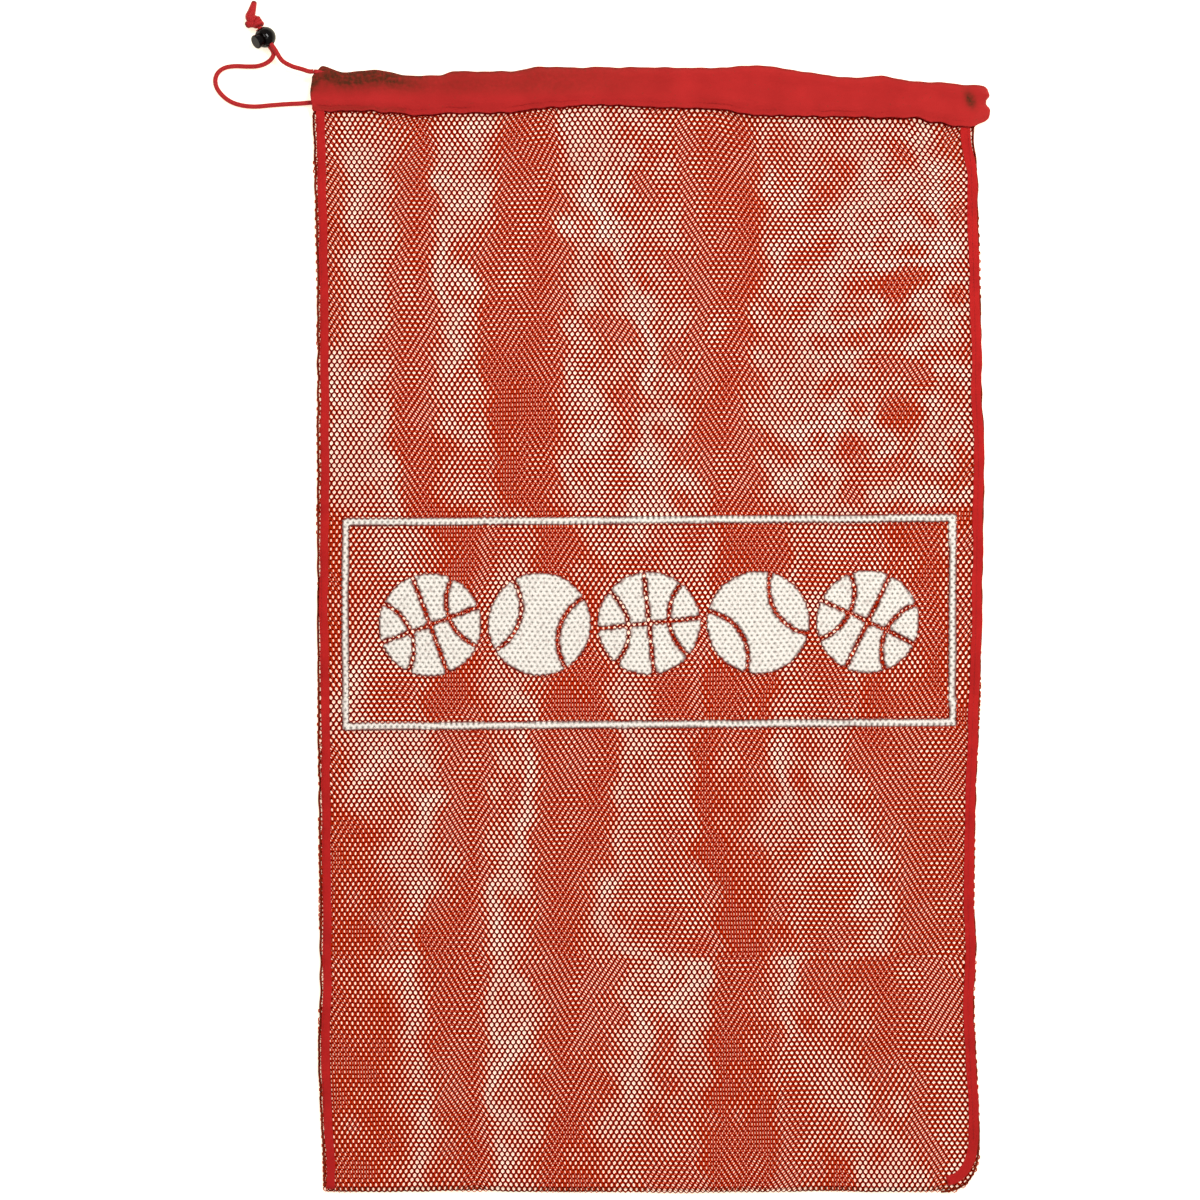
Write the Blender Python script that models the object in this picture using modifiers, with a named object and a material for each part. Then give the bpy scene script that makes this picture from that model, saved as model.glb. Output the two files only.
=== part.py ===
"""Mesh ball bag, lying flat with its drawcord and cord lock beside it.

Metres, +Z up. X runs across the bag, +Y towards its mouth. The origin is on the
surface that the bag lies on, under the middle of the bag.
"""

import math

import bmesh
import bpy
from mathutils import Matrix, Vector

# Overall
BAG_WIDTH = 0.608
BAG_LENGTH = 1.018
GAP = 0.0003

# Mesh cloth
MESH_THICKNESS = 0.0012
BACK_PANEL_Z = 0.0
INSIDE_GAP = 0.0048
MOUTH_GAP = 0.0060
RISE_LENGTH = 0.070
RISE_STEPS = 4
FOLD_DEPTH = 0.006
FOLD_STEPS = 10
ROUND_CORNER_RADIUS = 0.034
TIGHT_CORNER_RADIUS = 0.006

# Hem: the woven band round the mouth that the drawcord runs in
HEM_HEIGHT = 0.034
HEM_WALL = 0.0008
HEM_TURN_LENGTH = 0.020
HEM_TURN_ROUND = 0.0015
CUT_PAST = 0.010

# Seam tape inside both sides
TAPE_WIDTH = 0.0075
TAPE_INSET = 0.0012
TAPE_EDGE_ROUND = 0.0012
TAPE_TURN_STEP = math.radians(8)
RIGHT_TAPE_WRAP = math.radians(80)
LEFT_TAPE_WRAP = 0.0

# Stitching
THREAD_DIAMETER = 0.0006
HEM_STITCH_INSET = 0.0035
SIDE_STITCH_INSET = 0.0045
STITCH_END = 0.0040

# Drawcord
CORD_DIAMETER = 0.0042
CORD_STACK_GAP = 0.0003
CORD_TOP_INSET = 0.0026
CORD_LOW_INSET = 0.0035
CORD_STEP = 0.0095
STRAIGHT_SPARE = 0.0010
STRAIGHT_LEAD = 0.0015
CASING_STEP = 0.040
TURN_POINTS = 10
CORD_TURN_LENGTH = 0.0180
CORD_TURN_SPARE = 0.0012

# Cord lock: a ball with a spring plunger, which slides on the straight cords
LOCK_TRAVEL = 0.0040
LOCK_FROM_CORNER = (-0.0440, 0.0286)
LOCK_HEADING = math.radians(124.8)
LOCK_TILT = math.radians(32)
LOCK_BALL_RADIUS = 0.0095
LOCK_FACE = 0.0055
PLUNGER_RADIUS = 0.0058
PLUNGER_TRAVEL = 0.0030
PLUNGER_FLOOR = 0.0012
BORE_DEPTH = 0.0062
BUTTON_RADIUS = 0.0064
BUTTON_LENGTH = 0.0032
BUTTON_ROUND = 0.0009
CORD_LINE = 0.0006
CORD_HOLE_PLAY = 0.0006
SPRING_POCKET_RADIUS = 0.0034
SPRING_POCKET_DEPTH = 0.0082
SPRING_WIRE = 0.0006
SPRING_RADIUS = 0.0026
SPRING_TURNS = 3.0
SPRING_POINTS_A_TURN = 12

# Knot and tails
KNOT_LENGTH = 0.0105
KNOT_WIDTH = 0.0100
KNOT_HEIGHT = 0.0105
KNOT_GAP = 0.0006
KNOT_SHIFT = -0.0020

# Levels that follow from the sizes above
CASING_HEIGHT = CORD_DIAMETER + 2 * GAP + 2 * HEM_WALL
FRONT_CASING_Z = BACK_PANEL_Z + CASING_HEIGHT + MOUTH_GAP
FRONT_PANEL_Z = BACK_PANEL_Z + MESH_THICKNESS + INSIDE_GAP
HEM_TOP_Y = BAG_LENGTH / 2
HEM_LOW_Y = HEM_TOP_Y - HEM_HEIGHT
BAG_LOW_Y = -BAG_LENGTH / 2
SIDE_X = BAG_WIDTH / 2
BACK_CORD_Z = BACK_PANEL_Z + CASING_HEIGHT / 2
FRONT_CORD_Z = FRONT_CASING_Z + CASING_HEIGHT / 2
BACK_CORD_Y = HEM_LOW_Y + HEM_WALL + CORD_LOW_INSET
FRONT_CORD_Y = HEM_TOP_Y - HEM_WALL - CORD_TOP_INSET
CORD_RADIUS = CORD_DIAMETER / 2
CORD_HALF_HOLE = CORD_RADIUS + GAP

# Where the free strands run between the hem and the lock: x and y from the hem's
# top left-hand corner, and height above the lowest that the cord can lie. The
# tails are measured from the knot's centre.
UPPER_ROUTE = (
    (-0.0089, -0.0016, 0.0125),
    (-0.0202, 0.0020, 0.0110),
    (-0.0289, 0.0073, 0.0100),
)
LOWER_ROUTE = (
    (-0.0140, -0.0305, 0.0008),
    (-0.0219, -0.0307, 0.0003),
    (-0.0392, -0.0319, 0.0),
    (-0.0549, -0.0331, 0.0),
    (-0.0670, -0.0318, 0.0),
    (-0.0760, -0.0287, 0.0),
    (-0.0832, -0.0235, 0.0),
    (-0.0884, -0.0168, 0.0),
    (-0.0902, -0.0097, 0.0),
    (-0.0882, -0.0031, 0.0),
    (-0.0826, 0.0016, 0.0),
    (-0.0739, 0.0035, 0.0),
    (-0.0600, 0.0031, 0.0006),
    (-0.0513, 0.0033, 0.0022),
    (-0.0442, 0.0053, 0.0038),
    (-0.0388, 0.0092, 0.0049),
)
LONG_TAIL = (
    (-0.0062, 0.0050, 0.0),
    (-0.0050, 0.0090, -0.0004),
    (-0.0037, 0.0140, -0.0014),
    (-0.0024, 0.0200, -0.0030),
)
SHORT_TAIL = (
    (-0.0066, -0.0012, 0.0),
    (-0.0082, -0.0018, -0.0004),
    (-0.0099, -0.0025, -0.0012),
)

COLOURS = {
    "mesh": ((0.40, 0.035, 0.012), 0.75, 0.0),
    "hem": ((0.50, 0.026, 0.026), 0.8, 0.0),
    "tape": ((0.50, 0.024, 0.022), 0.8, 0.0),
    "thread": ((0.42, 0.020, 0.020), 0.7, 0.0),
    "cord": ((0.56, 0.020, 0.024), 0.7, 0.0),
    "plastic": ((0.008, 0.008, 0.008), 0.15, 0.0),
    "steel": ((0.55, 0.55, 0.56), 0.3, 1.0),
}


def clear_scene():
    for item in list(bpy.data.objects):
        bpy.data.objects.remove(item, do_unlink=True)


def new_collection(name):
    group = bpy.data.collections.new(name)
    bpy.context.scene.collection.children.link(group)
    return group


def material(node, kind):
    colour, roughness, metallic = COLOURS[kind]
    made = bpy.data.materials.new(node + "_material")
    made.use_nodes = True
    shader = made.node_tree.nodes["Principled BSDF"]
    shader.inputs["Base Color"].default_value = (*colour, 1.0)
    shader.inputs["Roughness"].default_value = roughness
    shader.inputs["Metallic"].default_value = metallic
    return made


def place(name, data, kind, smooth_degrees=None):
    """A new part object with its own material."""
    item = bpy.data.objects.new(name, data)
    PARTS.objects.link(item)
    data.materials.append(material(name, kind))
    if smooth_degrees is not None:
        data.shade_smooth()
        data.set_sharp_from_angle(angle=math.radians(smooth_degrees))
    return item


def cutter(name, data, matrix=None):
    item = bpy.data.objects.new(name, data)
    CUTTERS.objects.link(item)
    item.hide_render = True
    item.display_type = "WIRE"
    if matrix is not None:
        item.matrix_world = matrix
    return item


def subtract(item, tool):
    cut = item.modifiers.new("cut_" + tool.name, "BOOLEAN")
    cut.operation = "DIFFERENCE"
    cut.solver = "EXACT"
    cut.object = tool


def bevel(item, width, segments, angle=40):
    made = item.modifiers.new("round", "BEVEL")
    made.width = width
    made.segments = segments
    made.limit_method = "ANGLE"
    made.angle_limit = math.radians(angle)


def box_mesh(name, low, high):
    """A box between two corners."""
    low, high = Vector(low), Vector(high)
    shape = bmesh.new()
    scale = Matrix.Diagonal((*(high - low), 1.0))
    bmesh.ops.create_cube(shape, size=1.0, matrix=Matrix.Translation((low + high) / 2) @ scale)
    data = bpy.data.meshes.new(name)
    shape.to_mesh(data)
    shape.free()
    return data


def cylinder_mesh(name, radius, start, end, segments=48):
    """A cylinder about Z between two heights."""
    shape = bmesh.new()
    bmesh.ops.create_cone(
        shape, cap_ends=True, segments=segments, radius1=radius, radius2=radius,
        depth=end - start, matrix=Matrix.Translation((0, 0, (start + end) / 2)),
    )
    data = bpy.data.meshes.new(name)
    shape.to_mesh(data)
    shape.free()
    return data


def tube(name, points, diameter, kind, resolution=2):
    """A round tube along a polyline, with closed ends."""
    data = bpy.data.curves.new(name, "CURVE")
    data.dimensions = "3D"
    data.bevel_depth = diameter / 2
    data.bevel_resolution = resolution
    data.use_fill_caps = True
    line = data.splines.new("POLY")
    line.points.add(len(points) - 1)
    for point, place_at in zip(line.points, points):
        point.co = (*place_at, 1.0)
    line.use_smooth = True
    item = bpy.data.objects.new(name, data)
    PARTS.objects.link(item)
    data.materials.append(material(name, kind))
    return item


def catmull(points, at):
    """The point at parameter at, in 0 to len(points) - 1, of a curve through the points."""
    last = len(points) - 1
    index = min(int(at), last - 1)
    share = at - index
    p1, p2 = points[index], points[index + 1]
    p0 = points[index - 1] if index else p1 * 2 - p2
    p3 = points[index + 2] if index + 2 <= last else p2 * 2 - p1
    t1 = 0.0
    t2 = t1 + math.sqrt((p1 - p0).length)
    t3 = t2 + math.sqrt((p2 - p1).length)
    t4 = t3 + math.sqrt((p3 - p2).length)
    t = t2 + (t3 - t2) * share
    a1 = p0 * ((t2 - t) / (t2 - t1)) + p1 * ((t - t1) / (t2 - t1))
    a2 = p1 * ((t3 - t) / (t3 - t2)) + p2 * ((t - t2) / (t3 - t2))
    a3 = p2 * ((t4 - t) / (t4 - t3)) + p3 * ((t - t3) / (t4 - t3))
    b1 = a1 * ((t3 - t) / (t3 - t1)) + a2 * ((t - t1) / (t3 - t1))
    b2 = a2 * ((t4 - t) / (t4 - t2)) + a3 * ((t - t2) / (t4 - t2))
    return b1 * ((t3 - t) / (t3 - t2)) + b2 * ((t - t2) / (t3 - t2))


def smooth_route(points, step):
    """Points a step apart along the smooth curve through the route's points."""
    points = [Vector(point) for point in points]
    fine = 24
    count = (len(points) - 1) * fine
    dense = [catmull(points, index / fine) for index in range(count + 1)]
    lengths = [0.0]
    for before, after in zip(dense, dense[1:]):
        lengths.append(lengths[-1] + (after - before).length)
    pieces = max(2, round(lengths[-1] / step))
    route = []
    reached = 0
    for number in range(pieces + 1):
        wanted = lengths[-1] * number / pieces
        while reached < count - 1 and lengths[reached + 1] < wanted:
            reached += 1
        span = lengths[reached + 1] - lengths[reached]
        share = (wanted - lengths[reached]) / span
        route.append(dense[reached].lerp(dense[reached + 1], min(1.0, share)))
    return route


# Mesh cloth


def corner_arc(centre, radius, start, steps):
    turn = math.pi / 2
    for number in range(steps + 1):
        angle = start + turn * number / steps
        yield (centre[0] + radius * math.cos(angle), centre[1] + radius * math.sin(angle))


def panel_outline(low_y, high_y):
    """The flat outline of one face of the bag, counter-clockwise, its low corners rounded."""
    small, large = TIGHT_CORNER_RADIUS, ROUND_CORNER_RADIUS
    points = [(SIDE_X, high_y), (-SIDE_X, high_y)]
    points += corner_arc((-SIDE_X + small, low_y + small), small, math.pi, 4)
    points += corner_arc((SIDE_X - large, low_y + large), large, 1.5 * math.pi, 12)
    return points


def front_level(y):
    """The underside of the front face, which rises towards the front casing."""
    share = max(0.0, 1.0 - (HEM_LOW_Y - y) / RISE_LENGTH)
    return FRONT_PANEL_Z + (FRONT_CASING_Z - FRONT_PANEL_Z) * share * share


def rise_places():
    """Where the front face changes its slope, from the low end up to the hem."""
    return [HEM_LOW_Y - RISE_LENGTH * (1 - step / RISE_STEPS) for step in range(RISE_STEPS)]


def mesh_panel(name, level):
    """One face of the bag. level gives the height of its underside at y."""
    shape = bmesh.new()
    outline = panel_outline(BAG_LOW_Y + FOLD_DEPTH + GAP, HEM_LOW_Y - GAP)
    shape.faces.new([shape.verts.new((x, y, 0.0)) for x, y in outline])
    for y in rise_places():
        whole = shape.verts[:] + shape.edges[:] + shape.faces[:]
        bmesh.ops.bisect_plane(shape, geom=whole, plane_co=(0, y, 0), plane_no=(0, 1, 0))
    for point in shape.verts:
        point.co.z = level(point.co.y)
    data = bpy.data.meshes.new(name)
    shape.to_mesh(data)
    shape.free()
    item = place(name, data, "mesh")
    wall = item.modifiers.new("cloth", "SOLIDIFY")
    wall.thickness = MESH_THICKNESS
    wall.offset = 1.0


def mesh_bottom_fold():
    """The fold that joins the two faces of the one piece of mesh along the bottom."""
    radius = (FRONT_PANEL_Z - BACK_PANEL_Z) / 2
    middle_z = BACK_PANEL_Z + MESH_THICKNESS / 2 + radius
    straight_y = BAG_LOW_Y + FOLD_DEPTH
    reach = FOLD_DEPTH - MESH_THICKNESS / 2
    left = -SIDE_X + TIGHT_CORNER_RADIUS
    right = SIDE_X - ROUND_CORNER_RADIUS
    shape = bmesh.new()
    before = None
    for number in range(FOLD_STEPS + 1):
        angle = -math.pi / 2 + math.pi * number / FOLD_STEPS
        y = straight_y - reach * math.cos(angle)
        z = middle_z + radius * math.sin(angle)
        pair = [shape.verts.new((x, y, z)) for x in (left, right)]
        if before:
            shape.faces.new((before[0], before[1], pair[1], pair[0]))
        before = pair
    data = bpy.data.meshes.new("mesh_bottom_fold")
    shape.to_mesh(data)
    shape.free()
    item = place("mesh_bottom_fold", data, "mesh", 60)
    wall = item.modifiers.new("cloth", "SOLIDIFY")
    wall.thickness = MESH_THICKNESS
    wall.offset = 0.0


# Hem


def hem_band(name, low_z):
    """A flat casing across the bag, open at both ends for the cord."""
    right = SIDE_X - HEM_TURN_LENGTH
    high_z = low_z + CASING_HEIGHT
    outside = box_mesh(name, (-SIDE_X, HEM_LOW_Y, low_z), (right, HEM_TOP_Y, high_z))
    item = place(name, outside, "hem")
    bevel(item, HEM_WALL, 2)
    inside = box_mesh(
        name + "_channel",
        (-SIDE_X - CUT_PAST, HEM_LOW_Y + HEM_WALL, low_z + HEM_WALL),
        (right + CUT_PAST, HEM_TOP_Y - HEM_WALL, high_z - HEM_WALL),
    )
    subtract(item, cutter(inside.name, inside))


def hem_right_turn():
    """The end of the hem band, wrapped round the right-hand edge of the mouth."""
    name = "hem_right_turn"
    left = SIDE_X - HEM_TURN_LENGTH + GAP
    top = FRONT_CASING_Z + CASING_HEIGHT
    outside = box_mesh(name, (left, HEM_LOW_Y, BACK_PANEL_Z), (SIDE_X, HEM_TOP_Y, top))
    item = place(name, outside, "hem")
    bevel(item, HEM_TURN_ROUND, 3)
    inside = box_mesh(
        name + "_hollow",
        (left - CUT_PAST, HEM_LOW_Y + HEM_WALL, BACK_PANEL_Z + HEM_WALL),
        (SIDE_X - HEM_WALL, HEM_TOP_Y - HEM_WALL, top - HEM_WALL),
    )
    subtract(item, cutter(inside.name, inside))


# Side seams


def seam_tape(name, side, corner, wrap):
    """The binding tape that stands between the two faces of mesh along one side.

    It ends by following the bag's bottom corner through the angle wrap.
    """
    low_z = BACK_PANEL_Z + MESH_THICKNESS + GAP
    inset = TAPE_INSET + TAPE_WIDTH / 2
    low_y = BAG_LOW_Y + FOLD_DEPTH + corner
    steps = round(wrap / TAPE_TURN_STEP)
    straight = [HEM_LOW_Y - GAP] + rise_places()[::-1] + [low_y]
    line = [(side * (SIDE_X - inset), y) for y in straight]
    for number in range(1, steps + 1):
        angle = wrap * number / steps
        x = SIDE_X - corner + (corner - inset) * math.cos(angle)
        line.append((side * x, low_y - (corner - inset) * math.sin(angle)))
    shape = bmesh.new()
    before = None
    for x, y in line:
        pair = [shape.verts.new((x, y, z)) for z in (low_z, front_level(y) - GAP)]
        if before:
            shape.faces.new((before[0], pair[0], pair[1], before[1]))
        before = pair
    data = bpy.data.meshes.new(name)
    shape.to_mesh(data)
    shape.free()
    item = place(name, data, "tape", 40)
    wall = item.modifiers.new("tape", "SOLIDIFY")
    wall.thickness = TAPE_WIDTH
    wall.offset = 0.0
    bevel(item, TAPE_EDGE_ROUND, 2)


# Stitching


def stitching():
    lift = GAP + THREAD_DIAMETER / 2
    ends = (-SIDE_X + STITCH_END, SIDE_X - HEM_TURN_LENGTH - STITCH_END)
    hem_y = HEM_LOW_Y + HEM_STITCH_INSET
    levels = {
        "hem_stitching_front": FRONT_CASING_Z + CASING_HEIGHT + lift,
        "hem_stitching_back": BACK_PANEL_Z + CASING_HEIGHT + lift,
    }
    for name, z in levels.items():
        tube(name, [(x, hem_y, z) for x in ends], THREAD_DIAMETER, "thread")
    for name, side, corner in (
        ("left_seam_stitching", -1, TIGHT_CORNER_RADIUS),
        ("right_seam_stitching", 1, ROUND_CORNER_RADIUS),
    ):
        x = side * (SIDE_X - SIDE_STITCH_INSET)
        places = [BAG_LOW_Y + FOLD_DEPTH + corner] + rise_places() + [HEM_LOW_Y - STITCH_END]
        points = [(x, y, front_level(y) + MESH_THICKNESS + lift) for y in places]
        tube(name, points, THREAD_DIAMETER, "thread")


# Cord lock: its own frame has Z along the plunger, outwards, and X along the cords.
# It lies turned about the cords, with its plunger pointing partly up.


def lock_frame():
    along = Vector((math.cos(LOCK_HEADING), math.sin(LOCK_HEADING), 0.0))
    up = Vector((0.0, 0.0, 1.0))
    plunger = up.cross(along)
    turn = Matrix((along, up * -1.0, plunger)).transposed()
    corner = Vector((-SIDE_X, HEM_TOP_Y, BACK_PANEL_Z))
    centre = corner + Vector((*LOCK_FROM_CORNER, LOCK_BALL_RADIUS))
    return Matrix.Translation(centre) @ turn.to_4x4() @ Matrix.Rotation(LOCK_TILT, 4, "X")


def cord_hole(name, low, high):
    """The oblong hole for two cords, one above the other, between two plunger heights."""
    half_height = CORD_DIAMETER + CORD_STACK_GAP / 2 + GAP
    reach = 2 * LOCK_BALL_RADIUS
    data = box_mesh(name, (-reach, -half_height, low), (reach, half_height, high))
    tool = cutter(name, data, lock_frame())
    bevel(tool, CORD_RADIUS * 0.9, 4)
    return tool


def lock_body():
    shape = bmesh.new()
    bmesh.ops.create_uvsphere(shape, u_segments=40, v_segments=24, radius=LOCK_BALL_RADIUS)
    data = bpy.data.meshes.new("lock_body")
    shape.to_mesh(data)
    shape.free()
    item = place("lock_body", data, "plastic", 40)
    item.matrix_world = lock_frame()
    reach = 2 * LOCK_BALL_RADIUS
    bore = PLUNGER_RADIUS + GAP
    face = box_mesh("lock_face_cut", (-reach, -reach, LOCK_FACE), (reach, reach, reach))
    subtract(item, cutter("lock_face_cut", face, lock_frame()))
    hollow = cylinder_mesh("lock_bore_cut", bore, -BORE_DEPTH, reach)
    subtract(item, cutter("lock_bore_cut", hollow, lock_frame()))
    pocket = cylinder_mesh("lock_pocket_cut", SPRING_POCKET_RADIUS, -SPRING_POCKET_DEPTH, 0.0, 32)
    subtract(item, cutter("lock_pocket_cut", pocket, lock_frame()))
    low = CORD_LINE - CORD_HALF_HOLE - CORD_HOLE_PLAY
    subtract(item, cord_hole("lock_body_cord_hole", low, CORD_LINE + CORD_HALF_HOLE))


def lock_plunger():
    """The plunger at rest, pushed out until its hole clamps the cords."""
    bottom = CORD_LINE - CORD_HALF_HOLE - PLUNGER_FLOOR
    under_button = LOCK_FACE + GAP + PLUNGER_TRAVEL
    top = under_button + BUTTON_LENGTH
    inner = BUTTON_RADIUS - BUTTON_ROUND
    profile = [(0.0, top), (inner, top)]
    for number in range(1, 4):
        angle = math.pi / 2 * (1 - number / 3)
        z = top - BUTTON_ROUND + BUTTON_ROUND * math.sin(angle)
        profile.append((inner + BUTTON_ROUND * math.cos(angle), z))
    profile += [(BUTTON_RADIUS, under_button), (PLUNGER_RADIUS, under_button)]
    profile += [(PLUNGER_RADIUS, bottom), (0.0, bottom)]
    data = bpy.data.meshes.new("lock_plunger")
    edges = [(index, index + 1) for index in range(len(profile) - 1)]
    data.from_pydata([(x, 0.0, z) for x, z in profile], edges, [])
    item = place("lock_plunger", data, "plastic")
    turned = item.modifiers.new("turn", "SCREW")
    turned.steps = 48
    turned.render_steps = 48
    turned.use_merge_vertices = True
    turned.merge_threshold = 0.00001
    turned.use_smooth_shade = False
    item.matrix_world = lock_frame()
    low = CORD_LINE - CORD_HALF_HOLE
    high = CORD_LINE + CORD_HALF_HOLE + PLUNGER_TRAVEL
    subtract(item, cord_hole("lock_plunger_cord_hole", low, high))


def lock_spring():
    low = -SPRING_POCKET_DEPTH + GAP + SPRING_WIRE / 2
    plunger_bottom = CORD_LINE - CORD_HALF_HOLE - PLUNGER_FLOOR
    high = plunger_bottom - GAP - SPRING_WIRE / 2
    frame = lock_frame()
    count = int(SPRING_TURNS * SPRING_POINTS_A_TURN)
    points = []
    for number in range(count + 1):
        angle = 2 * math.pi * SPRING_TURNS * number / count
        z = low + (high - low) * number / count
        x, y = SPRING_RADIUS * math.cos(angle), SPRING_RADIUS * math.sin(angle)
        points.append(frame @ Vector((x, y, z)))
    tube("lock_spring", points, SPRING_WIRE, "steel")


# Drawcord


def cord_in_casing():
    """The stretch of cord held in the hem, round the right-hand end of the mouth."""
    start_x = -SIDE_X + GAP
    turn_x = SIDE_X - CORD_TURN_LENGTH
    middle = Vector((turn_x, (FRONT_CORD_Y + BACK_CORD_Y) / 2, (FRONT_CORD_Z + BACK_CORD_Z) / 2))
    across = Vector((0.0, FRONT_CORD_Y - BACK_CORD_Y, FRONT_CORD_Z - BACK_CORD_Z)) / 2
    reach = CORD_TURN_LENGTH - HEM_WALL - CORD_RADIUS - CORD_TURN_SPARE
    runs = math.ceil((turn_x - start_x) / CASING_STEP)
    points = []
    along = [start_x + (turn_x - start_x) * number / runs for number in range(runs)]
    points += [(x, FRONT_CORD_Y, FRONT_CORD_Z) for x in along]
    for number in range(TURN_POINTS + 1):
        angle = math.pi * number / TURN_POINTS
        outwards = Vector((reach * math.sin(angle), 0.0, 0.0))
        points.append(middle + across * math.cos(angle) + outwards)
    points += [(x, BACK_CORD_Y, BACK_CORD_Z) for x in reversed(along)]
    tube("drawcord_in_casing", points, CORD_DIAMETER, "cord")


def strand_end(level):
    """The straight run through the lock, up to the knot. level is 1 above, -1 below."""
    frame = lock_frame()
    offset = level * (CORD_RADIUS + CORD_STACK_GAP / 2)
    knot = LOCK_BALL_RADIUS + KNOT_GAP - GAP
    start = LOCK_BALL_RADIUS + LOCK_TRAVEL + STRAIGHT_SPARE
    places = (-start - STRAIGHT_LEAD, -start, 0.0, knot)
    return [frame @ Vector((x, -offset, CORD_LINE)) for x in places]


def free_strands():
    floor = BACK_PANEL_Z + CORD_RADIUS
    exits = {
        "drawcord_upper_strand": (FRONT_CORD_Y, FRONT_CORD_Z, UPPER_ROUTE, 1),
        "drawcord_lower_strand": (BACK_CORD_Y, BACK_CORD_Z, LOWER_ROUTE, -1),
    }
    for name, (y, z, route, level) in exits.items():
        guide = [(-SIDE_X - CORD_DIAMETER, y, z)]
        guide += [(x - SIDE_X, y + HEM_TOP_Y, floor + height) for x, y, height in route]
        straight = strand_end(level)
        guide += straight[:2]
        points = [(-SIDE_X, y, z)] + smooth_route(guide, CORD_STEP) + straight[2:]
        tube(name, points, CORD_DIAMETER, "cord")


def knot_centre():
    along = LOCK_BALL_RADIUS + KNOT_GAP + KNOT_LENGTH / 2
    return lock_frame() @ Vector((along, 0.0, CORD_LINE + KNOT_SHIFT))


def knot_and_tails():
    shape = bmesh.new()
    bmesh.ops.create_uvsphere(shape, u_segments=20, v_segments=12, radius=0.5)
    bmesh.ops.scale(shape, vec=(KNOT_LENGTH, KNOT_HEIGHT, KNOT_WIDTH), verts=shape.verts)
    data = bpy.data.meshes.new("cord_knot")
    shape.to_mesh(data)
    shape.free()
    item = place("cord_knot", data, "cord", 60)
    frame = lock_frame()
    frame.translation = knot_centre()
    item.matrix_world = frame
    centre = knot_centre()
    for name, tail in (("cord_tail_long", LONG_TAIL), ("cord_tail_short", SHORT_TAIL)):
        points = smooth_route([centre + Vector(step) for step in tail], CORD_DIAMETER)
        tube(name, points, CORD_DIAMETER, "cord")


def build():
    mesh_panel("mesh_back_panel", lambda y: BACK_PANEL_Z)
    mesh_panel("mesh_front_panel", front_level)
    mesh_bottom_fold()
    hem_band("hem_band_back", BACK_PANEL_Z)
    hem_band("hem_band_front", FRONT_CASING_Z)
    hem_right_turn()
    seam_tape("left_seam_tape", -1, TIGHT_CORNER_RADIUS, LEFT_TAPE_WRAP)
    seam_tape("right_seam_tape", 1, ROUND_CORNER_RADIUS, RIGHT_TAPE_WRAP)
    stitching()
    cord_in_casing()
    free_strands()
    lock_body()
    lock_plunger()
    lock_spring()
    knot_and_tails()


clear_scene()
PARTS = new_collection("mesh_ball_bag")
CUTTERS = new_collection("cutters")
build()
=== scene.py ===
"""The look of a mesh ball bag that lies flat, with its drawcord and cord lock beside it.

Metres, +Z up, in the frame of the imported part: X across the bag, +Y towards its mouth.
"""

import math

import bmesh
import bpy
import numpy as np
from mathutils import Matrix, Vector


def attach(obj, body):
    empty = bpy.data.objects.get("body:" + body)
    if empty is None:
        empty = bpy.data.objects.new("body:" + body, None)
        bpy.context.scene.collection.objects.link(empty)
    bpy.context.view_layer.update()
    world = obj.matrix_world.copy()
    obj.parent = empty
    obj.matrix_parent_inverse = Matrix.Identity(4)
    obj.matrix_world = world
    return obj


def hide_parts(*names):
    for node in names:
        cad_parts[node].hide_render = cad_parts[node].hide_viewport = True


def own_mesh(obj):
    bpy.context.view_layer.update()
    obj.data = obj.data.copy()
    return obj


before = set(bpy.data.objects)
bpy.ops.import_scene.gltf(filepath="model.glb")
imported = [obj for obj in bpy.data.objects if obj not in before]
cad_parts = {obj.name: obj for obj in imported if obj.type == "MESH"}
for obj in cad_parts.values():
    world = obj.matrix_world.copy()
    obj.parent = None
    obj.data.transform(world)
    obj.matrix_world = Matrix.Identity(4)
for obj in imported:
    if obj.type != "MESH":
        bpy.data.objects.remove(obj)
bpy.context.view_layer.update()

# The bag's levels and edges, as in the CAD
SIDE_X = 0.304
HEM_TOP_Y = 0.509
HEM_LOW_Y = 0.475
BAG_LOW_Y = -0.509
CASING_HEIGHT = 0.0064
FRONT_CASING_Z = 0.0124
RISE_LENGTH = 0.070

# Mesh cloth: a honeycomb of knitted yarn
CELL_PITCH = 0.0051
ROW_PITCH = 0.00395
POINT_TO_EDGE = 0.00279
HOLE_TIP = 0.00208
HOLE_SIDE_X = 0.00153
HOLE_SIDE_Y = 0.00088
YARN_THICKNESS = 0.0008
INK_FILL = 0.97  # how much of a printed hole the ink closes
TAPE_THICKNESS = 0.0013
BANDS = 4  # pieces that each layer of mesh is made in
BACK_NET_Z = 0.0010
FRONT_NET_Z = 0.0031

# Camera, straight above
CAMERA = Vector((-0.04535, 0.02857, 3.0))
LENS = 99.2

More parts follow.
